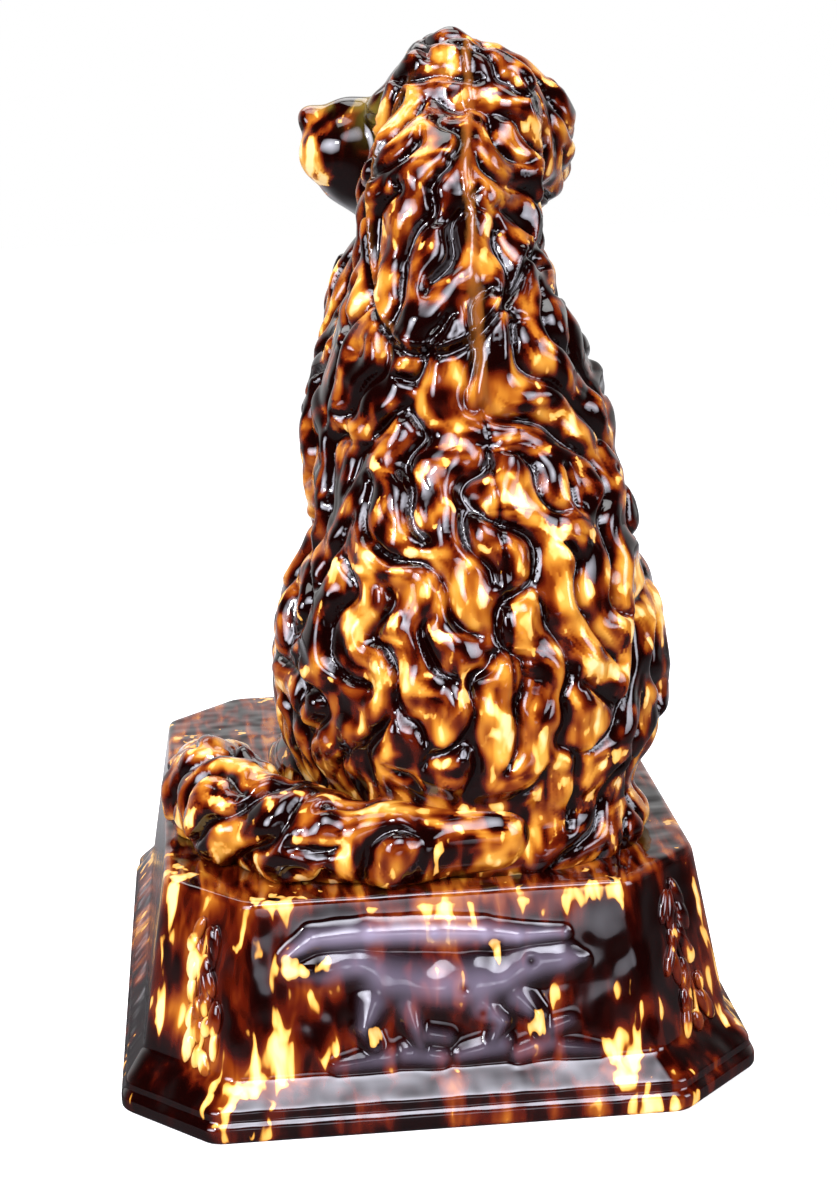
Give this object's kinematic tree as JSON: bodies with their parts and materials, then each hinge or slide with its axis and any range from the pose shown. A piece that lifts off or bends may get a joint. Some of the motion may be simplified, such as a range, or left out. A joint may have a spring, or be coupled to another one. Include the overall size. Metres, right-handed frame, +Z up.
{
  "type": "pottery dog figure",
  "caption": "Seated long-haired dog in brown mottled glaze on a hollow chamfered plinth, head turned left and tail curled round its haunch.",
  "frame": {"origin": "centre of the plinth's foot, on the surface that it stands on", "axes": "+Z up, the dog's body faces -Y, and its head and tail are turned to its left, +X"},
  "size_m": [0.23, 0.291, 0.3708],
  "materials": {
    "dog_glaze": "thick glossy brown glaze mottled with amber, cream and near black",
    "plinth_glaze": "thick glossy dark brown glaze run down in amber streaks"
  },
  "bodies": {
    "root": {"body_left_half": "dog_glaze", "body_right_half": "dog_glaze", "head_face_half": "dog_glaze", "head_back_half": "dog_glaze", "foreleg_left": "dog_glaze", "foreleg_right": "dog_glaze", "hind_paw_left": "dog_glaze", "hind_paw_right": "dog_glaze", "tail": "dog_glaze", "plinth_deck": "plinth_glaze", "plinth_front_wall": "plinth_glaze", "plinth_front_left_corner": "plinth_glaze", "plinth_left_wall": "plinth_glaze", "plinth_rear_left_corner": "plinth_glaze", "plinth_rear_wall": "plinth_glaze", "plinth_rear_right_corner": "plinth_glaze", "plinth_right_wall": "plinth_glaze", "plinth_front_right_corner": "plinth_glaze"}
  },
  "joints": []
}
